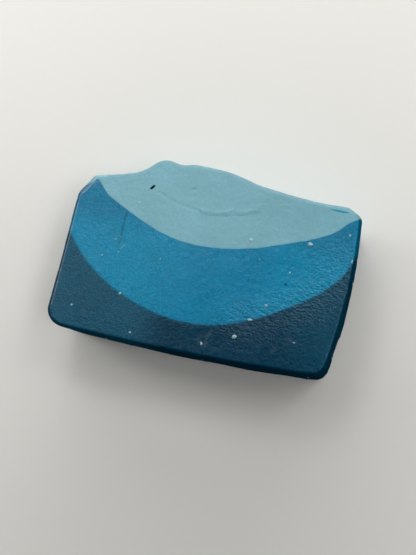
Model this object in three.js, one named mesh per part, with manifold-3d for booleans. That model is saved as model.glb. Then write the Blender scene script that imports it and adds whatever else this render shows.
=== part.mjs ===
// Clay bar: a hand-sized block of soft clay in bonded colours, cut as one slice from a poured loaf.
// The dark clay is poured first, the middle blue on top of it and the pale blue last, so each bond
// sags like a bowl. The last side poured was never in contact with the mould and keeps a crest.
//
// Millimetres, +Z up. The bar lies on its broad back face. X runs along its length and +Y points to
// the crest. The origin is at the middle of the footprint's bounding box, on the resting face.

import * as THREE from "three";
import { mergeVertices } from "three/addons/utils/BufferGeometryUtils.js";
import Module from "manifold-3d";

const wasm = await Module();
wasm.setup();

// Driving dimensions.
const LENGTH = 88;
const HEIGHT = 57; // from the base side to the highest point of the crest
const THICKNESS = 25;
const EDGE_ROUND = 1.2; // rounding where the two broad faces meet the sides
const BOND_GAP = 0.3; // the bonds touch in reality, and the solids keep this much apart
const CREST_DRIFT = 3; // how far the crest has slid along X by the time it reaches the back face
const CREST_FALL = 1.2; // and how much lower it is there
const PIT_PLACE = [-19.9, 19.2]; // an air pit in the cut face, measured from the middle of the bar
const PIT_LENGTH = 1.86;
const PIT_WIDTH = 0.76;
const PIT_DEPTH = 0.9;
const PIT_SLANT = THREE.MathUtils.degToRad(53);

// The box that the outline fills.
const RIGHT = LENGTH / 2;
const LEFT = -RIGHT;
const CREST = HEIGHT / 2;
const BASE = -CREST;

// The two bonds as they cross the cut face, from the left end to the right one, measured from the
// middle of the bar. Both sag like a bowl, and both run on past the ends of the bar.
const DARK_BOND = [
  [-48, 10.3],
  [-42.5, 1.4],
  [-35.8, -6],
  [-22, -14.6],
  [-2.5, -19.3],
  [14.9, -16.3],
  [30.9, -7.6],
  [41.6, 2.5],
  [44, 8.3],
  [48, 19],
];
const PALE_BOND = [
  [-45, 31],
  [-37.2, 18.4],
  [-25.2, 10.4],
  [-11.1, 4.9],
  [0, 3.7],
  [14.9, 5.9],
  [35.1, 13.3],
  [39.9, 17.4],
  [48, 23],
];

// Resolution.
const CURVE_SEGMENTS = 7;
const ROUND_SEGMENTS = 3;
const DEPTH_STEPS = 5;
const BLADE_SEGMENTS = 44;

// The slice's outline, anticlockwise from the lower left corner. The base and the right end are
// bowed, both base corners are rounded, and both shoulders of the crest are planed off.
function barOutline() {
  const baseBow = 0.9;
  const rightBow = 1.12;
  const leftFoot = new THREE.Vector2(LEFT, BASE + 6);
  const baseStart = new THREE.Vector2(LEFT + 5.5, BASE + baseBow);
  const baseEnd = new THREE.Vector2(RIGHT - 9.5, BASE + baseBow);
  const rightFoot = new THREE.Vector2(RIGHT - 2.5, BASE + 6.5);
  const rightShoulder = new THREE.Vector2(RIGHT - 0.5, CREST - 9.3);
  const leftShoulder = new THREE.Vector2(LEFT + 0.7, CREST - 15);
  const crest = [
    [RIGHT - 4.7, CREST - 5.7],
    [RIGHT - 15, CREST - 5.4],
    [RIGHT - 25, CREST - 4.3],
    [RIGHT - 32, CREST - 3.2],
    [RIGHT - 37, CREST - 1.8],
    [RIGHT - 42.5, CREST - 0.6],
    [LEFT + 36.5, CREST],
    [LEFT + 31.5, CREST - 0.7],
    [LEFT + 27, CREST],
    [LEFT + 24, CREST - 0.9],
    [LEFT + 20.5, CREST - 3.8],
    [LEFT + 16, CREST - 5.8],
    [LEFT + 4.8, CREST - 8.2],
  ].map(([x, y]) => new THREE.Vector2(x, y));

  const shape = new THREE.Shape();
  shape.moveTo(baseStart.x, baseStart.y);
  shape.quadraticCurveTo(0, BASE - baseBow, baseEnd.x, baseEnd.y);
  shape.quadraticCurveTo(RIGHT - 3, BASE + 1.3, rightFoot.x, rightFoot.y);
  shape.quadraticCurveTo(RIGHT + rightBow, 0, rightShoulder.x, rightShoulder.y);
  shape.quadraticCurveTo(RIGHT - 0.7, CREST - 8.3, RIGHT - 1.8, CREST - 7.4);
  shape.lineTo(crest[0].x, crest[0].y);
  shape.splineThru(crest.slice(1));
  shape.lineTo(LEFT + 1.8, CREST - 12.7);
  shape.quadraticCurveTo(LEFT + 0.8, CREST - 14, leftShoulder.x, leftShoulder.y);
  shape.lineTo(leftFoot.x, leftFoot.y);
  shape.quadraticCurveTo(LEFT + 0.4, BASE + 1.4, baseStart.x, baseStart.y);
  return shape;
}

// A closed mesh as a manifold-3d solid.
function solidOf(geometry) {
  const bare = geometry.clone();
  bare.deleteAttribute("normal");
  bare.deleteAttribute("uv");
  const merged = mergeVertices(bare, 1e-4);
  return new wasm.Manifold(
    new wasm.Mesh({
      numProp: 3,
      vertProperties: new Float32Array(merged.attributes.position.array),
      triVerts: new Uint32Array(merged.index.array),
    }),
  );
}

// The whole slice: the outline with both broad faces rounded over at their edges.
function uncutBar() {
  const geometry = new THREE.ExtrudeGeometry(barOutline(), {
    depth: THICKNESS - 2 * EDGE_ROUND,
    steps: DEPTH_STEPS,
    curveSegments: CURVE_SEGMENTS,
    bevelEnabled: true,
    bevelThickness: EDGE_ROUND,
    bevelSize: EDGE_ROUND,
    bevelOffset: -EDGE_ROUND,
    bevelSegments: ROUND_SEGMENTS,
  });
  geometry.translate(0, 0, EDGE_ROUND);
  return solidOf(geometry);
}

// A thin curved blade along a bond, as thick as the gap that it leaves.
function bondBlade(bond) {
  const curve = new THREE.SplineCurve(bond.map(([x, y]) => new THREE.Vector2(x, y)));
  const side = (offset) => {
    const line = [];
    for (let i = 0; i <= BLADE_SEGMENTS; i++) {
      const along = curve.getTangentAt(i / BLADE_SEGMENTS);
      const across = new THREE.Vector2(-along.y, along.x).multiplyScalar(offset);
      line.push(curve.getPointAt(i / BLADE_SEGMENTS).add(across));
    }
    return line;
  };
  const lower = side(-BOND_GAP / 2);
  const upper = side(BOND_GAP / 2).reverse();
  const blade = new THREE.Shape([...lower, ...upper]);
  const past = 2;
  const geometry = new THREE.ExtrudeGeometry(blade, {
    depth: THICKNESS + 2 * past,
    steps: DEPTH_STEPS,
    bevelEnabled: false,
  });
  geometry.translate(0, 0, -past);
  return solidOf(geometry);
}

// An air pit that opens on the cut face of the pale clay: a slit with round ends, sunk in slantwise.
function airPit() {
  const geometry = new THREE.CapsuleGeometry(PIT_WIDTH / 2, PIT_LENGTH - PIT_WIDTH, 3, 8);
  geometry.rotateZ(PIT_SLANT - Math.PI / 2);
  geometry.scale(1, 1, PIT_DEPTH / (PIT_WIDTH / 2));
  geometry.translate(...PIT_PLACE, THICKNESS);
  return solidOf(geometry);
}

// Each slice of the loaf differs a little from the next, so the crest slides and falls with depth.
// Nothing moves at the cut face, at the two ends or at the base.
function driftWithDepth(geometry) {
  const place = geometry.attributes.position;
  for (let i = 0; i < place.count; i++) {
    const depth = 1 - place.getZ(i) / THICKNESS;
    const height = THREE.MathUtils.smoothstep(place.getY(i), BASE / 2, CREST);
    const middle = 1 - (place.getX(i) / RIGHT) ** 2;
    const share = depth * height * Math.max(middle, 0);
    place.setX(i, place.getX(i) + CREST_DRIFT * share);
    place.setY(i, place.getY(i) - CREST_FALL * share);
  }
}

// A piece of clay as a named mesh with its own colour.
function clayLayer(name, solid, colour) {
  const { vertProperties, triVerts } = solid.getMesh();
  const geometry = new THREE.BufferGeometry();
  geometry.setAttribute("position", new THREE.BufferAttribute(vertProperties, 3));
  geometry.setIndex(new THREE.BufferAttribute(triVerts, 1));
  driftWithDepth(geometry);
  geometry.computeVertexNormals();
  const material = new THREE.MeshStandardMaterial({ color: colour, roughness: 0.5, metalness: 0 });
  const mesh = new THREE.Mesh(geometry, material);
  mesh.name = name;
  return mesh;
}

const heightOf = (solid) => solid.boundingBox().max[1];
const layers = uncutBar()
  .subtract(bondBlade(DARK_BOND))
  .subtract(bondBlade(PALE_BOND))
  .decompose()
  .sort((a, b) => heightOf(a) - heightOf(b));

const bar = new THREE.Group();
bar.add(clayLayer("dark_layer", layers[0], 0x0b3a50));
bar.add(clayLayer("middle_layer", layers[1], 0x14759a));
bar.add(clayLayer("pale_layer", layers[2].subtract(airPit()), 0x7babb8));
bar.name = "clay_bar";

export default bar;
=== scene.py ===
from math import cos, pi, radians, sin
from random import Random

import bmesh
import bpy
import numpy as np
from mathutils import Matrix, Vector, noise
from mathutils.bvhtree import BVHTree


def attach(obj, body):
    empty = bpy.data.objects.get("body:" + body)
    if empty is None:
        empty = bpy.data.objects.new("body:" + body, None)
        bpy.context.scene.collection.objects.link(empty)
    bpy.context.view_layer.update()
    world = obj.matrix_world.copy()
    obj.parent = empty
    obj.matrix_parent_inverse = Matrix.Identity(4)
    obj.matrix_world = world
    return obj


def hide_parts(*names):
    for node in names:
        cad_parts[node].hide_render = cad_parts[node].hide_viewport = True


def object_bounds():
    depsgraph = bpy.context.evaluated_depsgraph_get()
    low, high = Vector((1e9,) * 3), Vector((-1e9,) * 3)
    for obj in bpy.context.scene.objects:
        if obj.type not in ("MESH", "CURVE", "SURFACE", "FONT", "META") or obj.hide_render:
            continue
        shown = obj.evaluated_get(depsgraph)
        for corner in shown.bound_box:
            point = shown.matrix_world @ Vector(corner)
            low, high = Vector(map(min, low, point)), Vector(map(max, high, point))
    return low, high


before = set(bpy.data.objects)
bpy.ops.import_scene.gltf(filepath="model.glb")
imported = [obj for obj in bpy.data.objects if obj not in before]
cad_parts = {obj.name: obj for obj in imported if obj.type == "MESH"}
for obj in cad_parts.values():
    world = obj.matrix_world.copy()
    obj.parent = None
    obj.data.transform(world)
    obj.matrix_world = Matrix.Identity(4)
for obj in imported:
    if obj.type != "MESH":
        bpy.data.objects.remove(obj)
cad_low, cad_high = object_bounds()

# ---------------------------------------------------------------------------------------------
# The slice, as the cutting wire leaves it: one block of clay with two flat cut faces, a base and
# two ends that the loaf's mould gave it, and a crest that set in the open air. The wire's sharp
# edges are rubbed round with a thumb, and the left end and its shoulder are planed with a knife.

mm = 0.001
side = (cad_high.x - cad_low.x) / 2 / mm
rise = (cad_high.y - cad_low.y) / 2 / mm
thick = cad_high.z / mm
cell = 0.31  # the size of the mesh's squares, fine enough to hold a thumbnail's mark
front_edge = (1.25, 1.1)  # how far the rounding reaches over the cut face and down the side
back_edge = (1.2, 1.1)
crest_drift = 3  # how far the crest slides along the bar by the time it reaches the back face
crest_fall = 1.2  # and how much lower it is there
knife_reach = 1.15  # how far the knife's flat reaches over the cut face at the left end
shoulder_reach = 1.9


def bend(start, pull, end, count=40):
    """A curve from start to end that leans towards pull."""
    t = np.linspace(0, 1, count)[:, None]
    start, pull, end = map(np.array, (start, pull, end))
    return start * (1 - t) ** 2 + pull * 2 * t * (1 - t) + end * t**2


def lath(points, count=24):
    """A smooth curve through points, as a thin lath bent round pegs would lie."""
    p = np.array(points, float)
    p = np.vstack([2 * p[0] - p[1], p, 2 * p[-1] - p[-2]])
    t = np.linspace(0, 1, count, endpoint=False)[:, None]
    runs = []
    for a, b, c, d in zip(p, p[1:], p[2:], p[3:]):
        curve = 2 * b + (c - a) * t + (2 * a - 5 * b + 4 * c - d) * t**2
        runs.append((curve + (3 * b - a - 3 * c + d) * t**3) / 2)
    return np.vstack(runs + [p[-2:-1]])


def evenly(line, count):
    """The same line with count equal steps."""
    steps = np.linalg.norm(np.diff(line, axis=0), axis=1)
    along = np.concatenate([[0], np.cumsum(steps)])
    wanted = np.linspace(0, along[-1], count + 1)
    return np.stack([np.interp(wanted, along, line[:, k]) for k in (0, 1)], 1)


left_foot = (-side, -rise + 6)
base_start = (-side + 5.5, -rise + 0.7)
base_end = (side - 9.5, -rise + 0.7)
right_foot = (side - 1.8, -rise + 6.3)
right_shoulder = (side - 0.1, rise - 9.3)
left_shoulder = (-side + 0.7, rise - 15)
corner_facets = [
    (side - 4.9, -rise + 1.2),
    (side - 3.3, -rise + 2.2),
    (side - 2.3, -rise + 3.9),
]
crest_points = [
    (side - 4.7, rise - 5.7),
    (side - 15, rise - 5.4),
    (side - 25, rise - 4.3),
    (side - 32, rise - 3.2),
    (side - 37, rise - 1.8),
    (side - 42.5, rise - 0.6),
    (-side + 36.5, rise),
    (-side + 31.5, rise - 0.7),
    (-side + 27, rise),
    (-side + 24, rise - 0.9),
    (-side + 20.5, rise - 3.8),
    (-side + 16, rise - 5.8),
    (-side + 4.8, rise - 8.2),
]
outline = np.vstack([
    bend(base_start, (0, -rise - 1.1), base_end, 120),
    corner_facets,
    bend(right_foot, (side + 1.6, 0), right_shoulder, 80),
    bend(right_shoulder, (side - 0.4, rise - 8.2), (side - 1.6, rise - 7.4)),
    lath(crest_points),
    bend((-side + 1.8, rise - 12.7), (-side + 0.8, rise - 14), left_shoulder),
    bend(left_foot, (-side + 0.4, -rise + 1.4), base_start),
])


def stretch(start_near, end_near):
    """The part of the outline, anticlockwise, between the places nearest to two points."""
    first, last = (
        int(np.argmin(np.linalg.norm(outline - np.array(p), axis=1)))
        for p in (start_near, end_near)
    )
    return np.roll(outline, -first, axis=0)[: (last - first) % len(outline) + 1]


low_left, low_right = (-side, -rise), (side, -rise)
top_right, top_left = (side, rise - 6), (-side + 2.5, rise - 9.5)
columns = round(2 * side / cell)
rows = round(1.6 * rise / cell)
edge_line = np.vstack([
    evenly(stretch(low_left, low_right), columns)[:-1],
    evenly(stretch(low_right, top_right), rows)[:-1],
    evenly(stretch(top_right, top_left), columns)[:-1],
    evenly(stretch(top_left, low_left), rows)[:-1],
])


def smoothed(values, reach, loops):
    """A closed row of values, each averaged with its neighbours loops times."""
    for _ in range(loops):
        values = (values + np.roll(values, reach, 0) + np.roll(values, -reach, 0)) / 3
    return values


heading = np.roll(edge_line, -1, 0) - np.roll(edge_line, 1, 0)
inward = smoothed(np.stack([-heading[:, 1], heading[:, 0]], 1), 2, 8)
inward /= np.linalg.norm(inward, axis=1)[:, None]


def cap(rim):
    """A grid of points that fills a closed rim of four sides."""
    south = rim[: columns + 1]
    east = rim[columns : columns + rows + 1]
    north = rim[columns + rows : 2 * columns + rows + 1][::-1]
    west = np.vstack([rim[2 * columns + rows :], rim[:1]])[::-1]
    u = np.linspace(0, 1, columns + 1)[None, :, None]
    v = np.linspace(0, 1, rows + 1)[:, None, None]
    flat = (1 - u) * (1 - v) * south[0] + u * (1 - v) * south[-1]
    flat = flat + u * v * north[-1] + (1 - u) * v * north[0]
    across = (1 - u) * west[:, None] + u * east[:, None]
    return (1 - v) * south + v * north + across - flat


def eased(value, low, high):
    """0 up to low, 1 from high on, and a smooth rise between them."""
    t = np.clip((value - low) / (high - low), 0, 1)
    return t * t * (3 - 2 * t)


at_left = eased(-edge_line[:, 0], side - 5.4, side - 4.2)
planed = smoothed(at_left * eased(edge_line[:, 1], -rise + 5.5, -rise + 7.5), 1, 2)
on_shoulder = eased(edge_line[:, 1], rise - 16, rise - 13)
knife = knife_reach + (shoulder_reach - knife_reach) * on_shoulder
reach = front_edge[0] + (knife - front_edge[0]) * planed
turns = np.linspace(0, pi / 2, 8)
rings = []
for turn in turns:
    share = turn / turns[-1]
    inset = reach * (planed * (1 - share) + (1 - planed) * (1 - sin(turn)))
    sunk = front_edge[1] * (planed * share + (1 - planed) * (1 - cos(turn)))
    rings.append(np.column_stack([edge_line + inward * inset[:, None], thick - sunk]))
knife_marks = [ring[planed > 0.5] for ring in (rings[0], rings[-1])]
wall = np.linspace(thick - front_edge[1], back_edge[1], round((thick - front_edge[1] - back_edge[1]) / cell))
for z in wall[1:-1]:
    rings.append(np.column_stack([edge_line, np.full(len(edge_line), z)]))
for turn in turns[::-1]:
    inset, height = back_edge[0] * (1 - sin(turn)), back_edge[1] * (1 - cos(turn))
    rings.append(np.column_stack([edge_line + inward * inset, np.full(len(edge_line), height)]))

around = len(edge_line)
per_cap = (columns + 1) * (rows + 1)
grid = np.arange(per_cap).reshape(rows + 1, columns + 1)
rim_of_grid = np.concatenate([grid[0, :-1], grid[:-1, -1], grid[-1, :0:-1], grid[:0:-1, 0]])
walls = per_cap + np.arange((len(rings) - 2) * around).reshape(-1, around)
back_grid = grid + per_cap + walls.size
levels = np.vstack([rim_of_grid, walls, rim_of_grid + per_cap + walls.size])


def patch(corners):
    """The squares of a grid of point numbers, one row of four numbers for each."""
    four = [corners[:-1, :-1], corners[:-1, 1:], corners[1:, 1:], corners[1:, :-1]]
    return np.stack(four, -1).reshape(-1, 4)


def flat_cap(ring):
    inside = cap(ring[:, :2])
    return np.dstack([inside, np.full(inside.shape[:2], ring[0, 2])]).reshape(-1, 3)


points = np.vstack([flat_cap(rings[0]), *rings[1:-1], flat_cap(rings[-1])])
closed_levels = np.hstack([levels, levels[:, :1]])
quads = np.vstack([patch(grid), patch(back_grid)[:, ::-1], patch(closed_levels)[:, ::-1]])


def solid(name, points, faces):
    """A mesh object from points in millimetres."""
    mesh = bpy.data.meshes.new(name)
    mesh.from_pydata((np.asarray(points) * mm).tolist(), [], [list(face) for face in faces])
    mesh.update()
    made = bpy.data.objects.new(name, mesh)
    bpy.context.scene.collection.objects.link(made)
    return made


def vectors(owners, field):
    """One vector from each of a mesh's points, as rows of numbers."""
    found = np.empty(len(owners) * 3, np.float32)
    owners.foreach_get(field, found)
    return found.reshape(-1, 3).astype(float)


def closeness(p, line, width):
    """1 on a line, falling to 0 at a few widths from it, for each of many points."""
    line = np.array(line, float)
    nearest = np.full(len(p), np.inf)
    low, high = line.min(0) - 4 * width, line.max(0) + 4 * width
    around_it = np.all((p[:, : line.shape[1]] > low) & (p[:, : line.shape[1]] < high), axis=1)
    close = p[around_it][:, : line.shape[1]]
    best = np.full(len(close), np.inf)
    for a, b in zip(line[:-1], line[1:]):
        along = np.clip(((close - a) @ (b - a)) / ((b - a) @ (b - a)), 0, 1)
        best = np.minimum(best, np.linalg.norm(close - a - along[:, None] * (b - a), axis=1))
    nearest[around_it] = best
    return np.exp(-((nearest / width) ** 2))


wire_drag = [(15, -17), (24, -13), (32, -8), (38, -2), (40, 6)]  # where the wire tore at the clay
scored = [(-26.2, 10.0), (-26.4, 5.2), (-26.1, 0.3)]  # a groove in the middle layer


def unevenness(p, normal, ripple):
    """How far the clay stands proud of its true shape at a point, in millimetres."""
    cut_face = abs(normal.z) ** 3
    swell = (0.18 - 0.08 * cut_face) * noise.noise(p / 15) + 0.04 * noise.noise(p / 5 + Vector((7, 3, 1)))
    mottle = 0.04 * noise.noise(p / 0.75) + 0.03 * noise.noise(p / 1.6)
    dragged = noise.noise(Vector((p.x / 1.05, p.y / 0.6, p.z / 0.8)))
    torn = -0.17 * max(dragged - 0.06, 0) + 0.035 * noise.noise(Vector((p.x / 2.4, p.y / 0.75, p.z)))
    mould = 0.08 * noise.noise(Vector((p.x / 6, p.y / 3, p.z / 3))) + 0.02 * noise.noise(p / 1.2)
    return swell + cut_face * (mottle + ripple * torn) + (1 - cut_face) * mould


def worked(blank):
    """Gives a clean solid the unevenness of clay that has been poured, cut and handled."""
    rest = vectors(blank.data.vertices, "co") / mm
    normals = vectors(blank.data.vertex_normals, "vector")
    x, y, z = rest.T
    in_front = normals[:, 2] > 0.5
    ripple = 0.12 + 0.25 * eased(x, 4, 24) * eased(-y, -12, 0) + 0.75 * closeness(rest, wire_drag, 7)
    proud = np.array([unevenness(Vector(p), Vector(n), r) for p, n, r in zip(rest, normals, ripple)])

    # The crest set in the open, so it is lumpy behind the cut face and slides a little with depth.
    depth = np.clip(thick - z, 0, None)
    poured = eased(normals[:, 1], 0.25, 0.75) * eased(y, rise - 14, rise - 9)
    lumps = [
        noise.noise(Vector((a / 8, c / 5.5, 3))) + 0.45 * noise.noise(Vector((a / 3.2, c / 2.4, 9)))
        for a, b, c in rest
    ]
    open_relief = np.array(lumps) * eased(depth, 1.0, 7)
    proud += poured * np.minimum(0.95 * open_relief, 0.16 * depth)

    # Marks in the cut face: creases where the pale clay folded as it was poured, the groove that is
    # scored in the middle layer, a fine drag line, a dimple, and knife burrs at the left end.
    fold = [(-17.6, 18.1), (-14.8, 16.8), (-11.9, 15.7), (-7.8, 14.8), (-3.8, 14.1)]
    proud += in_front * 0.075 * closeness(rest, [(-3.6, 14.7), (1.4, 14.5), (4.6, 15.5), (6.7, 16.5)], 0.5)
    proud += in_front * 0.06 * closeness(rest, [(7.2, 15.8), (10.4, 16.4), (13.6, 17.8)], 0.45)
    proud -= in_front * 0.07 * closeness(rest, fold, 0.4)
    proud -= in_front * 0.09 * closeness(rest, scored, 0.35)
    proud -= in_front * 0.05 * closeness(rest, [(-40, 11.7), (-36, 11.8), (-32.5, 12.3), (-30.4, 13.0)], 0.35)
    proud -= in_front * 0.12 * closeness(rest, [(-7.2, 20.5), (-6.9, 20.7)], 0.55)
    for mark in knife_marks:
        proud += 0.045 * closeness(rest, mark, 0.22)

    # A chip out of the right end, where the bar once knocked against something.
    chip = eased(-y - 0.12 * z, 12.6, 13.0) * (1 - eased(-y, 17.5, 22.5)) * eased(normals[:, 0], 0.2, 0.8)
    proud -= 0.28 * chip

    moved = rest + normals * proud[:, None]
    share = depth / thick * eased(moved[:, 1], -rise / 2, rise)
    share = share * np.clip(1 - (moved[:, 0] / side) ** 2, 0, None)
    moved[:, 0] += crest_drift * share
    moved[:, 1] -= crest_fall * share
    # The mould's sides lean in a little towards the back.
    behind = 1 - moved[:, 2] / thick
    moved[:, 0] -= 0.75 * behind * eased(moved[:, 0], side - 14, side - 2)
    moved[:, 1] += 0.45 * behind * eased(-moved[:, 1], rise - 9, rise - 1)
    moved[:, 2] = np.maximum(moved[:, 2], 0.05)
    blank.data.vertices.foreach_set("co", (moved * mm).astype(np.float32).ravel())
    blank.data.update()


blank = solid("blank", points, quads)
worked(blank)

# ---------------------------------------------------------------------------------------------
# The dark layer. The first clay into the mould: it fills the bar from the base side up to a bond
# that sags like a bowl, and carries the other two. Strong pigment in a soft, slightly waxy clay,
# a little lighter towards the ends, with a painted highlight along the knife's edges and pale scuffs of wear.

dark_bond = [
    (-48, 10.3),
    (-42.5, 1.4),
    (-35.8, -6.0),
    (-28.5, -11.3),
    (-21.8, -14.7),
    (-12.2, -17.9),
    (-2.5, -19.3),
    (6.5, -18.7),
    (14.9, -16.3),
    (23.1, -12.4),
    (30.9, -7.6),
    (37.3, -2.6),
    (41.6, 2.5),
    (44, 8.3),
    (48, 19),
]


def below(name, bond, wander):
    """All that lies on the base side of a bond, as a solid to cut with."""
    line = evenly(lath(bond), 260)
    deep = np.linspace(-2, thick + 2, 44)
    top = []
    for z in deep:
        # The bond is as it was cut at the front, and strays with depth as the pour wandered.
        astray = min(max((thick - z) / 12, 0), 1)
        for x, y in line:
            ripple = wander * noise.noise(Vector((x / 3.5, z / 9, y / 3.5)))
            ripple += 0.5 * wander * noise.noise(Vector((x / 1.3, y / 1.3, z / 3)))
            stray = astray * 1.3 * noise.noise(Vector((x / 11, z / 8, bond[0][1])))
            top.append((x, y + ripple + stray, z))
    top = np.array(top)
    floor = top.copy()
    floor[:, 1] = -2 * rise
    upper = np.arange(len(top)).reshape(len(deep), len(line))
    rim = np.concatenate([upper[0, :-1], upper[:-1, -1], upper[-1, :0:-1], upper[:0:-1, 0]])
    sides = np.stack([rim, np.roll(rim, -1), np.roll(rim, -1) + len(top), rim + len(top)], -1)
    faces = np.vstack([patch(upper)[:, ::-1], patch(upper) + len(top), sides])
    return solid(name, np.vstack([top, floor]), faces)


def cut(name, clay, tool, operation):
    """What is left of a solid when another has cut it."""
    modifier = clay.modifiers.new("cut", "BOOLEAN")
    modifier.operation = operation
    modifier.solver = "MANIFOLD"
    modifier.object = tool
    bpy.context.view_layer.update()
    seen = clay.evaluated_get(bpy.context.evaluated_depsgraph_get())
    mesh = bpy.data.meshes.new_from_object(seen)
    clay.modifiers.remove(modifier)
    made = bpy.data.objects.new(name, mesh)
    bpy.context.scene.collection.objects.link(made)
    return made


up = Vector((0, 0, 1))


def lump(place, facing, size, turn, seed):
    """An uneven closed blob: its points in millimetres and its faces."""
    shape = bmesh.new()
    bmesh.ops.create_icosphere(shape, subdivisions=3, radius=0.5)
    spin = up.rotation_difference(facing).to_matrix() @ Matrix.Rotation(turn, 3, "Z")
    rows = []
    for point in shape.verts:
        swollen = point.co * (1 + 0.6 * noise.noise(point.co * 2.6 + Vector((seed, 0, 0))))
        shaped = Vector([a * b for a, b in zip(swollen, size)])
        rows.append(tuple(Vector(place) + spin @ shaped))
    faces = [[corner.index for corner in face.verts] for face in shape.faces]
    shape.free()
    return rows, faces


def together(name, shapes):
    """Several closed shapes as one object."""
    rows, faces = [], []
    for more_rows, more_faces in shapes:
        faces += [[corner + len(rows) for corner in face] for face in more_faces]
        rows += more_rows
    return solid(name, rows, faces)


def painted(piece, name, amounts):
    """Notes an amount from 0 to 1 at each of a piece's points, for its material to read."""
    layer = piece.data.attributes.new(name, "FLOAT", "POINT")
    layer.data.foreach_set("value", np.clip(amounts, 0, 1).astype(np.float32))


def blotches(p, size, shift):
    """Soft random patches from about -1 to 1, for each of many points."""
    return np.array([noise.noise(Vector(a) / size + Vector(shift)) for a in p])


def clay_finish(name, body, ends, neighbour, pale_flecks, mottle, grain, roughness, side_shade_level, shine):
    """Soft clay: pigment a little uneven, pale with wear and with painted highlight, darkened by painted
    shade in its hollows and on its sides and rounded edges, with a fine pressed grain.
    """
    material = bpy.data.materials.new(name)
    material.use_nodes = True
    nodes, links = material.node_tree.nodes, material.node_tree.links
    shader = nodes["Principled BSDF"]
    where = nodes.new("ShaderNodeTexCoord").outputs["Object"]

    def noisy(scale, detail, stretch=(1, 1, 1)):
        placed = nodes.new("ShaderNodeMapping")
        placed.inputs["Scale"].default_value = stretch
        links.new(where, placed.inputs["Vector"])
        texture = nodes.new("ShaderNodeTexNoise")
        texture.inputs["Scale"].default_value = scale
        texture.inputs["Detail"].default_value = detail
        links.new(placed.outputs["Vector"], texture.inputs["Vector"])
        return texture.outputs["Fac"]

    def ranged(value, low, high, to_low, to_high):
        fitted = nodes.new("ShaderNodeMapRange")
        for socket, number in zip(("From Min", "From Max", "To Min", "To Max"), (low, high, to_low, to_high)):
            fitted.inputs[socket].default_value = number
        links.new(value, fitted.inputs["Value"])
        return fitted.outputs["Result"]

    def mixed(share, first, second, blend="MIX"):
        mix = nodes.new("ShaderNodeMix")
        mix.data_type = "RGBA"
        mix.blend_type = blend
        for socket, value in ((mix.inputs["Factor"], share), (mix.inputs[6], first), (mix.inputs[7], second)):
            if isinstance(value, bpy.types.NodeSocket):
                links.new(value, socket)
            else:
                socket.default_value = value
        return mix.outputs[2]

    def noted(name):
        attribute = nodes.new("ShaderNodeAttribute")
        attribute.attribute_name = name
        return attribute.outputs["Fac"]

    def times(first, second):
        product = nodes.new("ShaderNodeMath")
        product.operation = "MULTIPLY"
        links.new(first, product.inputs[0])
        links.new(second, product.inputs[1])
        return product.outputs["Value"]

    pressed = noisy(1900, 2)
    dragged = noisy(1700, 2, (0.55, 1, 1))
    clouds = noisy(85, 2)
    colour = mixed(noted("ends"), (*body, 1), (*ends, 1))
    shade = ranged(pressed, 0.32, 0.68, 1 - mottle, 1 + mottle)
    colour = mixed(1, colour, shade, "MULTIPLY")
    colour = mixed(1, colour, ranged(clouds, 0.3, 0.7, 0.95, 1.05), "MULTIPLY")

    speck = nodes.new("ShaderNodeTexVoronoi")
    speck.inputs["Scale"].default_value = 420
    links.new(where, speck.inputs["Vector"])
    chosen = nodes.new("ShaderNodeSeparateColor")
    links.new(speck.outputs["Color"], chosen.inputs["Color"])
    few = ranged(chosen.outputs["Red"], 0.93, 0.94, 0, 1)
    dot = ranged(speck.outputs["Distance"], 0.05, 0.12, pale_flecks, 0)
    colour = mixed(times(few, dot), colour, (0.42, 0.55, 0.58, 1))
    colour = mixed(noted("bled"), colour, (*neighbour, 1))
    # Painted shade: the slit, the scored groove and the crease are darkened, and the middle layer towards the
    # pale bond.
    colour = mixed(noted("painted_shade"), colour, (0.02, 0.1, 0.14, 1), "MULTIPLY")
    # Painted shade: the colour of the sides and rounded edges is darkened by the layer's shade level.
    colour = mixed(noted("painted_side_shade"), colour, (side_shade_level, side_shade_level, side_shade_level, 1), "MULTIPLY")
    # Pale grey: real scuffs of wear, and a painted highlight along the knife-planed edges and shoulder.
    colour = mixed(noted("wear_and_highlight"), colour, (0.36, 0.37, 0.42, 1))
    links.new(colour, shader.inputs["Base Color"])

    cut_gloss = ranged(clouds, 0.3, 0.7, roughness - 0.04, roughness + 0.05)
    gloss = nodes.new("ShaderNodeMix")
    links.new(noted("moulded"), gloss.inputs["Factor"])
    links.new(cut_gloss, gloss.inputs["A"])
    gloss.inputs["B"].default_value = 0.85
    links.new(gloss.outputs["Result"], shader.inputs["Roughness"])
    shader.inputs["Specular IOR Level"].default_value = shine
    shader.inputs["Specular Tint"].default_value = (0.88, 0.97, 1, 1)
    relief = None
    heights = (times(pressed, noted("coarse")), times(dragged, noted("torn")), noisy(3600, 2))
    for height, deep in zip(heights, (grain, 1.9 * grain, 0.15 * grain)):
        bump = nodes.new("ShaderNodeBump")
        bump.inputs["Strength"].default_value = 1
        bump.inputs["Distance"].default_value = deep
        links.new(height, bump.inputs["Height"])
        if relief:
            links.new(relief, bump.inputs["Normal"])
        relief = bump.outputs["Normal"]
    links.new(relief, shader.inputs["Normal"])
    return material


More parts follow.
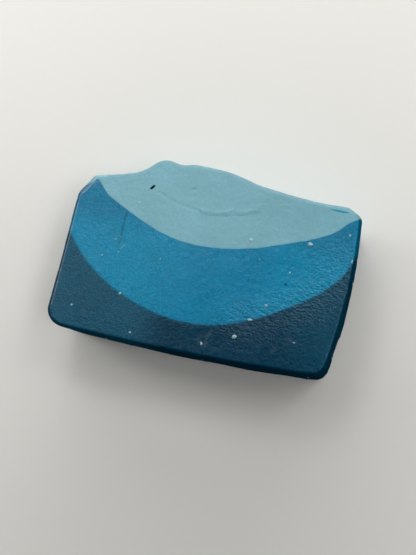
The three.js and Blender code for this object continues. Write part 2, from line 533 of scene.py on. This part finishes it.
def handled(p):
    """Marks that run on through all the layers: the mould's dull sides, painted shade on the sides and
    rounded edges, the wire's drag, the wear and a painted highlight along the knife's edges.
    """
    # Plan distance from the bar's outline, to find the rounded edges where the face turns to skin and gets
    # painted shade.
    from_edge = np.sqrt(-np.log(np.maximum(closeness(p, edge_line[::6], 1), 1e-6)))
    turning = (1 - eased(from_edge, 0.45, 1.2)) * ((p[:, 0] > -side + 9) | (p[:, 1] < rise - 14.5))
    # Painted shade: how much the sides and rounded edges are darkened in colour.
    painted_side_shade = np.maximum(turning, eased(thick - p[:, 2], 0.1, 0.9))
    # Painted highlight: pale lines along the knife-planed edges.
    wear_and_highlight = closeness(p, knife_marks[0], 0.17) + 0.4 * closeness(p, knife_marks[1], 0.14)
    wear_and_highlight *= 0.6 + 0.5 * blotches(p, 1.6, (5, 2, 8))
    return {
        "moulded": eased(np.minimum(p[:, 2], thick - p[:, 2]), 0.35, 1.1),
        "painted_side_shade": painted_side_shade * eased(p[:, 2], 0, 0.8),
        "torn": 1.4 * closeness(p, wire_drag, 6.5) ** 1.5,
        "coarse": 0.4 + 0.6 * eased(-p[:, 0], 2, 20) + 0.6 * closeness(p, wire_drag, 8),
        "wear_and_highlight": 0.8 * wear_and_highlight,
    }


def finished(piece, marks, paint, side_shade_level, node, slot):
    """Smooths a layer's shading, gives it its finish, and enters it in the assembly.

    The mould and the air left the sides dull; painted shade darkens the colour of the sides and rounded edges
    below that of the fresh cut faces."""
    for name, amounts in marks.items():
        painted(piece, name, amounts)
    piece.data.materials.clear()
    piece.data.materials.append(clay_finish(slot + "_cut", *paint, side_shade_level, 0.36))
    piece.data.materials.append(clay_finish(slot + "_skin", *paint, side_shade_level, 0))
    middles = vectors(piece.data.polygons, "center") / mm
    x, y, z = middles.T
    shoulder = (x < -side + 9) & (y > rise - 14.5)
    rubbed = closeness(middles, edge_line[::6], 1) > np.exp(-(0.85**2))
    rubbed &= ~shoulder & (y < rise - 7.8)
    outside = (z > 0.3) & (rubbed | (z < thick - np.where(shoulder, front_edge[1], 0.5)))
    piece.data.polygons.foreach_set("material_index", outside.astype(np.int32))
    piece.data.shade_smooth()
    piece.data.set_sharp_from_angle(angle=radians(38))
    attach(piece, "root")
    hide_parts(node)


dark_tool = below("dark_tool", dark_bond, 0.12)
whole_dark = cut("whole_dark", blank, dark_tool, "INTERSECT")
upper_clay = cut("upper_clay", blank, dark_tool, "DIFFERENCE")
nick = together("nick", [lump((side + 0.12, -16.9, thick - 1.5), up, (1.1, 0.7, 4), 0, 9)])
dark = cut("dark_clay", whole_dark, nick, "DIFFERENCE")

spots = vectors(dark.data.vertices, "co") / mm
marks = handled(spots)
# Real wear: pale scuffs near the base edge.
scuffs = closeness(spots, [(6.2, -22.6), (7.6, -20.6)], 0.5)
scuffs = scuffs + closeness(spots, [(4.4, -24.2), (6.6, -24.6)], 0.6)
right_scuffs = closeness(spots, [(25.8, -22.6), (26.4, -22.2)], 0.7)
right_scuffs = right_scuffs + closeness(spots, [(29.2, -18.6), (32, -19.2)], 0.4)
scuffs += right_scuffs
scuffs *= 0.16 * (spots[:, 2] > thick - 0.6) * eased(blotches(spots, 0.5, (1, 1, 1)), -0.25, 0.2)
marks["wear_and_highlight"] += scuffs
to_right_end = 0.5 * eased(spots[:, 0] + 0.6 * (spots[:, 1] + 20), 22, 44)
marks["ends"] = eased(-spots[:, 0], 5, 19) + to_right_end
marks["bled"] = 0.5 * closeness(spots, lath(dark_bond), 0.28)
marks["torn"] += 0.5 * eased(spots[:, 0], -14, -8) * closeness(spots, lath(dark_bond), 2.5)
dark_blue, dark_ends, middle_blue = (0.001, 0.043, 0.088), (0.003, 0.083, 0.15), (0.001, 0.222, 0.41)
dark_paint = (dark_blue, dark_ends, middle_blue, 0.3, 0.24, 0.0002, 0.26)
# 0.42 is how far the painted shade darkens the dark layer's sides and rounded edges.
finished(dark, marks, dark_paint, 0.42, "dark_layer", "dark_clay")

# ---------------------------------------------------------------------------------------------
# The middle layer. A brighter blue, poured on the dark one before that had set, so the two are
# welded without a gap. A crescent in the cut face: its lower bond is the dark layer's upper one.

middle_bond = [
    (-48, 13.0),
    (-41.2, 16.7),
    (-39.4, 17.8),
    (-37.6, 18.9),
    (-35.9, 17.3),
    (-32.6, 14.3),
    (-25.2, 10.4),
    (-18.0, 7.2),
    (-11.1, 4.9),
    (-3.1, 3.8),
    (6.1, 4.3),
    (14.9, 5.9),
    (20.5, 7.7),
    (28.9, 10.6),
    (35.1, 13.3),
    (37.7, 15.1),
    (39.9, 17.4),
    (43, 19.5),
    (48, 23),
]
middle_tool = below("middle_tool", middle_bond, 0.1)
whole_middle = cut("whole_middle", upper_clay, middle_tool, "INTERSECT")
pinholes = [
    lump((25.8, -3.1, thick - 0.1), up, (0.75, 0.62, 1.3), 0, 1),
    lump((9.4, -3.6, thick), up, (0.5, 0.34, 0.3), 0.4, 2),
    lump((-14.5, -1.4, thick), up, (0.45, 0.3, 0.3), 2.2, 3),
]
middle_pits = together("middle_pits", pinholes)
middle = cut("middle_clay", whole_middle, middle_pits, "DIFFERENCE")

spots = vectors(middle.data.vertices, "co") / mm
marks = handled(spots)
shoulder = eased(spots[:, 1] - spots[:, 0], 54, 55.5) * (spots[:, 2] > thick - 1.3)
# Painted highlight on the knife-planed shoulder.
marks["wear_and_highlight"] += 0.12 * shoulder * eased(blotches(spots, 2, (3, 3, 3)), -0.6, 0.6)
up_the_bowl = spots[:, 1] + 0.1 * np.abs(spots[:, 0])
marks["ends"] = eased(np.abs(spots[:, 0] - 6), 6, 24) * (1 - eased(up_the_bowl, 6, 16))
# Painted shade in the scored groove, and a little towards the pale bond above.
marks["painted_shade"] = 0.4 * closeness(spots, scored, 0.38) * (spots[:, 2] > thick - 1)
marks["painted_shade"] += 0.15 * eased(up_the_bowl, 6, 15)
marks["bled"] = 0.35 * closeness(spots, lath(dark_bond), 0.28)
middle_ends = (0.002, 0.258, 0.455)
middle_paint = (middle_blue, middle_ends, dark_ends, 0.35, 0.15, 0.00018, 0.27)
# 0.4 is how far the painted shade darkens the middle layer's sides and rounded edges.
finished(middle, marks, middle_paint, 0.4, "middle_layer", "middle_clay")

# ---------------------------------------------------------------------------------------------
# The pale layer. The last clay poured, whitened and stiffer: it fills the bowl that the middle
# one leaves and stands up in an uneven crest. An air bubble opened as a slit when it was cut,
# and a fold in the pour shows as a crease.

whole_pale = cut("whole_pale", upper_clay, middle_tool, "DIFFERENCE")


def furrow(line, width, sunk, seed):
    """A thin closed sliver along a line in the cut face, to cut a crease with."""
    steps = 40
    path = evenly(lath(line), steps)
    rows, faces = [], []
    for step, (x, y) in enumerate(path):
        along = path[min(step + 1, steps)] - path[max(step - 1, 0)]
        across = np.array([-along[1], along[0]]) / np.linalg.norm(along)
        taper = sin(pi * (step + 0.6) / 41.2) ** 0.6
        half = taper * width / 2 * (1 + 0.7 * noise.noise(Vector((step / 3, seed, 0))))
        deep = taper * sunk * (1 + 0.8 * noise.noise(Vector((step / 4, seed, 5))))
        for offset, height in ((-half, 0.25), (half, 0.25), (half * 0.4, -deep), (-half * 0.8, -deep * 0.8)):
            rows.append((*(np.array((x, y)) + across * offset), thick + height))
    for step in range(steps):
        first = 4 * step
        for k in range(4):
            faces.append([first + k, first + (k + 1) % 4, first + 4 + (k + 1) % 4, first + 4 + k])
    last = 4 * steps
    faces += [[3, 2, 1, 0], [last, last + 1, last + 2, last + 3]]
    return rows, faces


slit_turn = radians(50)
creases = [
    furrow([(-17.4, 18.0), (-14.8, 16.8), (-12.4, 15.9)], 0.16, 0.1, 4),
    furrow([(-3.9, 14.2), (-2.6, 13.7), (-0.4, 13.5), (1.9, 13.9)], 0.3, 0.4, 1),
    furrow([(2.4, 14.0), (4.4, 14.2), (6.3, 14.6)], 0.28, 0.24, 2),
    furrow([(6.9, 14.7), (9, 15.0), (10.8, 15.5), (12.4, 16.1), (14.1, 17.1)], 0.32, 0.42, 3),
]
bubbles = [
    lump((-19.9, 19.25, thick - 0.35), up, (2.15, 0.85, 3.2), slit_turn, 6),
    lump((-7.1, 20.6, thick + 0.02), up, (0.8, 0.65, 0.36), 0, 7),
    lump((-33.6, 18.6, thick), up, (0.4, 0.26, 0.3), 1, 8),
]
pale_pits = together("pale_pits", bubbles)
pale_furrows = together("pale_furrows", creases)
pitted = cut("pitted", whole_pale, pale_pits, "DIFFERENCE")
pale = cut("pale_clay", pitted, pale_furrows, "DIFFERENCE")

spots = vectors(pale.data.vertices, "co") / mm
marks = handled(spots)
marks["coarse"] *= 0.6
marks["torn"] *= 0.3
marks["ends"] = eased(spots[:, 1] + 0.25 * spots[:, 0], 12, 26)
# Painted shade in the slit and along the crease.
in_slit = closeness(spots, [(-20.3, 18.8), (-19.5, 19.7)], 0.5) * (spots[:, 2] < thick - 0.25)
crease_line = [(-3.8, 14.0), (-1.4, 13.5), (1.6, 13.8), (5.9, 14.5), (10.5, 15.5), (12.3, 16.1), (13.9, 17.0)]
creased = closeness(spots, lath(crease_line), 0.17) * (0.2 + 0.2 * blotches(spots, 1.8, (4, 4, 4)))
marks["painted_shade"] = 1.6 * in_slit + creased * (spots[:, 2] > thick - 0.6)
marks["bled"] = 0.3 * closeness(spots, lath(middle_bond), 0.25)
pale_blue, pale_crest = (0.222, 0.485, 0.575), (0.208, 0.462, 0.552)
pale_paint = (pale_blue, pale_crest, middle_blue, 0.25, 0.05, 0.00012, 0.33)
# 0.68 is how far the painted shade darkens the pale layer's sides and rounded edges.
finished(pale, marks, pale_paint, 0.68, "pale_layer", "pale_clay")

# ---------------------------------------------------------------------------------------------
# The pale crumbs. Flecks of dried white clay that the wire tore loose and pressed into the slice:
# a score of them on the front cut face, with a few slivers that it scratched in, and others on
# the back and the sides. Each is half sunk in the clay.

layers = (dark, middle, pale)
skins = [BVHTree.FromObject(piece, bpy.context.evaluated_depsgraph_get()) for piece in layers]


def skin_at(start, towards):
    """Where a straight line first meets the bar, in millimetres, and how the surface faces there."""
    hits = [skin.ray_cast(Vector(start) * mm, Vector(towards)) for skin in skins]
    hits = [hit for hit in hits if hit[0] is not None]
    place, facing, _, _ = min(hits, key=lambda hit: hit[3])
    return place / mm, facing


def crumb(start, towards, length, width, turn, seed):
    place, facing = skin_at(start, towards)
    height = 0.8 * min(length, width)
    rows, faces = lump(place - facing * 0.12 * height, facing, (length, width, height), turn, seed)
    return [(x, y, max(z, 0)) for x, y, z in rows], faces


front_crumbs = [
    # x, y, length, width, turn in degrees
    (-22.9, 13.7, 0.8, 0.65, 0),
    (13.2, 8.0, 0.95, 1.15, 20),
    (30.5, 9.8, 1.5, 1.05, 22),
    (-30.7, -4.2, 0.6, 0.5, 0),
    (-22.5, -14.7, 0.85, 0.7, 50),
    (-36.5, -20.8, 0.75, 0.65, 0),
    (21.5, -10.2, 0.85, 0.75, 0),
    (17.7, -15.1, 1.35, 0.75, 12),
    (14.1, -20.9, 1.55, 0.95, 38),
    (5.1, -24.6, 0.7, 1.0, 10),
    (-16.7, -25.5, 0.6, 0.55, 0),
    (31.5, -19.2, 0.6, 0.45, 0),
    (-3.5, 14.8, 0.75, 0.55, 30),
    (41.3, 14.3, 0.4, 1.1, -20),
    (43.3, 6.9, 0.35, 1.3, -8),
    (16.9, 2.9, 0.36, 0.3, 0),
    (26.4, 0.6, 0.6, 0.5, 0),
    (-12.6, -2.2, 0.34, 0.3, 0),
    (-34.5, -5.6, 0.35, 0.3, 0),
    (-25.0, -0.66, 2.2, 0.14, 53),
    (-25.95, -2.4, 0.8, 0.2, 50),
    (-27.6, 1.4, 1.0, 0.12, 66),
    (-26.3, 2.4, 0.5, 0.12, 10),
]
shapes = []
for seed, (x, y, length, width, turn) in enumerate(front_crumbs):
    shapes.append(crumb((x, y, 2 * thick), (0, 0, -1), length, width, radians(turn), seed))
random = Random(5)
for seed in range(40, 58):
    start = (random.uniform(-0.9, 0.9) * side, random.uniform(-0.85, 0.6) * rise, -thick)
    size = random.uniform(0.4, 1.0)
    shapes.append(crumb(start, (0, 0, 1), size * random.uniform(1, 1.8), size, random.uniform(0, pi), seed))
for towards in ((0, 1, 0), (0, -1, 0), (1, 0, 0), (-1, 0, 0)):
    for seed in range(60, 63):
        if towards[0]:
            start = (-2 * side * towards[0], random.uniform(-0.8, 0.3) * rise, random.uniform(3, thick - 3))
        else:
            start = (random.uniform(-0.85, 0.85) * side, -2 * rise * towards[1], random.uniform(3, thick - 3))
        size = random.uniform(0.3, 0.6)
        shapes.append(crumb(start, towards, size * random.uniform(1, 1.6), size, random.uniform(0, pi), seed))
pale_crumbs = together("pale_crumbs", shapes)


def crumb_finish(name, colour):
    """Dried clay: the same paste, duller and a little mealy."""
    material = bpy.data.materials.new(name)
    material.use_nodes = True
    nodes, links = material.node_tree.nodes, material.node_tree.links
    shader = nodes["Principled BSDF"]
    where = nodes.new("ShaderNodeTexCoord").outputs["Object"]
    mealy = nodes.new("ShaderNodeTexNoise")
    mealy.inputs["Scale"].default_value = 2600
    links.new(where, mealy.inputs["Vector"])
    shade = nodes.new("ShaderNodeMix")
    shade.data_type = "RGBA"
    shade.inputs[6].default_value = (*[0.75 * part for part in colour], 1)
    shade.inputs[7].default_value = (*[1.2 * part for part in colour], 1)
    links.new(mealy.outputs["Fac"], shade.inputs["Factor"])
    links.new(shade.outputs[2], shader.inputs["Base Color"])
    bump = nodes.new("ShaderNodeBump")
    bump.inputs["Distance"].default_value = 0.00006
    links.new(mealy.outputs["Fac"], bump.inputs["Height"])
    links.new(bump.outputs["Normal"], shader.inputs["Normal"])
    shader.inputs["Roughness"].default_value = 0.75
    shader.inputs["Specular IOR Level"].default_value = 0.25
    return material


def entered(piece, material):
    piece.data.materials.append(material)
    piece.data.shade_smooth()
    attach(piece, "root")


entered(pale_crumbs, crumb_finish("pale_crumb_finish", (0.37, 0.57, 0.6)))

# ---------------------------------------------------------------------------------------------
# The blue streak. A thread of middle-blue clay that the wire dragged up and left lying in the
# pale clay by the right shoulder, and the crumbs of dark clay that it left by the base.

steps = 30  # along the thread
spokes = 10  # round it
thread = [(34.1, 21.15), (35.6, 21.15), (37.0, 21.1), (38.6, 21.0), (40.0, 21.05)]
streak_path = evenly(lath(thread), steps)
rows, faces = [], []
for step, (x, y) in enumerate(streak_path):
    share = step / steps
    half = 0.04 + 0.32 * sin(pi * share**1.15) ** 0.8
    top, _ = skin_at((x, y, 2 * thick), (0, 0, -1))
    for k in range(spokes):
        turn = 2 * pi * k / spokes
        rows.append((x, y + half * (cos(turn) - 0.25 * share), top.z - 0.02 + 0.05 * sin(turn)))
for step in range(steps):
    for k in range(spokes):
        first = spokes * step + k
        second = spokes * step + (k + 1) % spokes
        faces.append([first, second, second + spokes, first + spokes])
last = spokes * steps
faces += [list(range(spokes - 1, -1, -1)), list(range(last, last + spokes))]
blue_streak = solid("blue_streak", rows, faces)
entered(blue_streak, crumb_finish("streak_finish", (0.03, 0.3, 0.45)))

dark_spots = [(35.2, 2.2), (34.4, 3.4), (-21, 6), (8, 12.5), (-33, 17)]
shapes = []
for seed, (x, z) in enumerate(dark_spots):
    shapes.append(crumb((x, -2 * rise, z), (0, 1, 0), 0.95 - 0.1 * seed, 0.7, 0.6 * seed, 80 + seed))
dark_crumbs = together("dark_crumbs", shapes)
entered(dark_crumbs, crumb_finish("dark_crumb_finish", (0.004, 0.05, 0.085)))

tools = (blank, dark_tool, whole_dark, nick, upper_clay, middle_tool, whole_middle, middle_pits)
for tool in (*tools, whole_pale, pale_pits, pale_furrows, pitted):
    bpy.data.objects.remove(tool)

# ---------------------------------------------------------------------------------------------
# The table: a plain pale board, wide enough to fill the view.

half_board = 4000
corners = [(x * half_board, y * half_board, 0) for x, y in ((-1, -1), (1, -1), (1, 1), (-1, 1))]
floor = solid("floor", corners, [(0, 1, 2, 3)])
paint = bpy.data.materials.new("floor_paint")
paint.use_nodes = True
paint.node_tree.nodes["Principled BSDF"].inputs["Base Color"].default_value = (0.85, 0.84, 0.81, 1)
paint.node_tree.nodes["Principled BSDF"].inputs["Roughness"].default_value = 0.8
floor.data.materials.append(paint)

# ---------------------------------------------------------------------------------------------
# The light: a bright wall low behind the bar, soft boxes low and high all round it, and a black
# card over the near side, so that the base side falls into shade.

world = bpy.data.worlds.new("room")
world.use_nodes = True
nodes, links = world.node_tree.nodes, world.node_tree.links
direction = nodes.new("ShaderNodeTexCoord")
towards = nodes.new("ShaderNodeVectorMath")
towards.operation = "DOT_PRODUCT"
towards.inputs[1].default_value = (-0.12, 0.98, 0.14)
links.new(direction.outputs["Generated"], towards.inputs[0])
glow = nodes.new("ShaderNodeMapRange")
glow.interpolation_type = "SMOOTHSTEP"
glow.inputs["From Min"].default_value = 0.78
glow.inputs["From Max"].default_value = 1
glow.inputs["To Min"].default_value = 0.03
glow.inputs["To Max"].default_value = 2.25
links.new(towards.outputs["Value"], glow.inputs["Value"])
links.new(glow.outputs["Result"], nodes["Background"].inputs["Strength"])
nodes["Background"].inputs["Color"].default_value = (1, 0.99, 0.96, 1)
bpy.context.scene.world = world


def softbox(name, place, aim, size, brightness):
    """A soft box whose face is equally bright whatever its size."""
    lamp = bpy.data.lights.new(name, "AREA")
    lamp.shape = "RECTANGLE"
    lamp.size, lamp.size_y = size
    lamp.energy = brightness * pi * pi * size[0] * size[1]
    lamp.color = (1, 0.995, 0.98)
    made = bpy.data.objects.new(name, lamp)
    made.location = place
    made.rotation_euler = (Vector(aim) - Vector(place)).to_track_quat("-Z", "Y").to_euler()
    made.visible_camera = False
    bpy.context.scene.collection.objects.link(made)


softbox("back_low", (0, 0.35, 0.1), (0, 0, 0), (0.34, 0.14), 0.72)
softbox("back_left_low", (-0.3, 0.3, 0.1), (0, 0, 0), (0.14, 0.14), 1.1)
softbox("back_right_low", (0.3, 0.3, 0.1), (0, 0, 0), (0.14, 0.14), 0.55)
softbox("left_low", (-0.4, 0.1, 0.1), (0, 0, 0), (0.14, 0.14), 2.15)
softbox("right_low", (0.4, 0.1, 0.1), (0, 0, 0), (0.14, 0.14), 1.1)
softbox("front_low", (0, -0.45, 0.08), (0, 0, 0.01), (0.2, 0.1), 1.2)
softbox("left_over", (-0.3, 0.06, 0.3), (-0.3, 0.06, 0), (0.12, 0.12), 0.85)
softbox("back_over", (-0.06, 0.18, 0.3), (-0.06, 0.18, 0), (0.12, 0.12), 1.3)
softbox("right_over", (0.23, 0.12, 0.3), (0.23, 0.12, 0), (0.24, 0.22), 0.4)
softbox("right_high", (0.35, -0.1, 0.6), (0.35, -0.1, 0), (0.2, 0.2), 2.3)
softbox("right_back_high", (0.35, 0.3, 0.6), (0.35, 0.3, 0), (0.2, 0.2), 1.3)
softbox("left_near_high", (-0.25, -0.3, 0.6), (-0.25, -0.3, 0), (0.2, 0.2), 0.8)
softbox("left_high", (-0.25, 0.05, 0.6), (-0.25, 0.05, 0), (0.2, 0.3), 0.9)

card = solid("card", [(-130, -300, 272), (40, -300, 272), (40, 30, 272), (-130, 30, 272)], [(0, 1, 2, 3)])
black = bpy.data.materials.new("black_card")
black.use_nodes = True
black.node_tree.nodes["Principled BSDF"].inputs["Base Color"].default_value = (0.02, 0.02, 0.02, 1)
black.node_tree.nodes["Principled BSDF"].inputs["Roughness"].default_value = 1
card.data.materials.append(black)
card.visible_camera = False

# ---------------------------------------------------------------------------------------------
# The camera: it looks steeply down on the cut face from above the lower right corner, turned a
# little in the hand.

aim = Vector((2.92, -5.14, thick)) * mm
azimuth, elevation, roll = radians(55), radians(75), radians(12.23)
distance = 0.25
back = Vector((sin(azimuth) * cos(elevation), -cos(azimuth) * cos(elevation), sin(elevation)))
level_up = (Vector((0, 1, 0)) - back * back.y).normalized()
level_right = level_up.cross(back)
to_right = cos(roll) * level_right + sin(roll) * level_up
to_top = cos(roll) * level_up - sin(roll) * level_right
lens = bpy.data.cameras.new("camera")
lens.lens = 55
lens.sensor_width = 36
camera = bpy.data.objects.new("camera", lens)
turn = Matrix((to_right, to_top, back)).transposed().to_4x4()
camera.matrix_world = Matrix.Translation(aim + back * distance) @ turn
bpy.context.scene.collection.objects.link(camera)
bpy.context.scene.camera = camera
bpy.context.scene.view_settings.view_transform = "Standard"
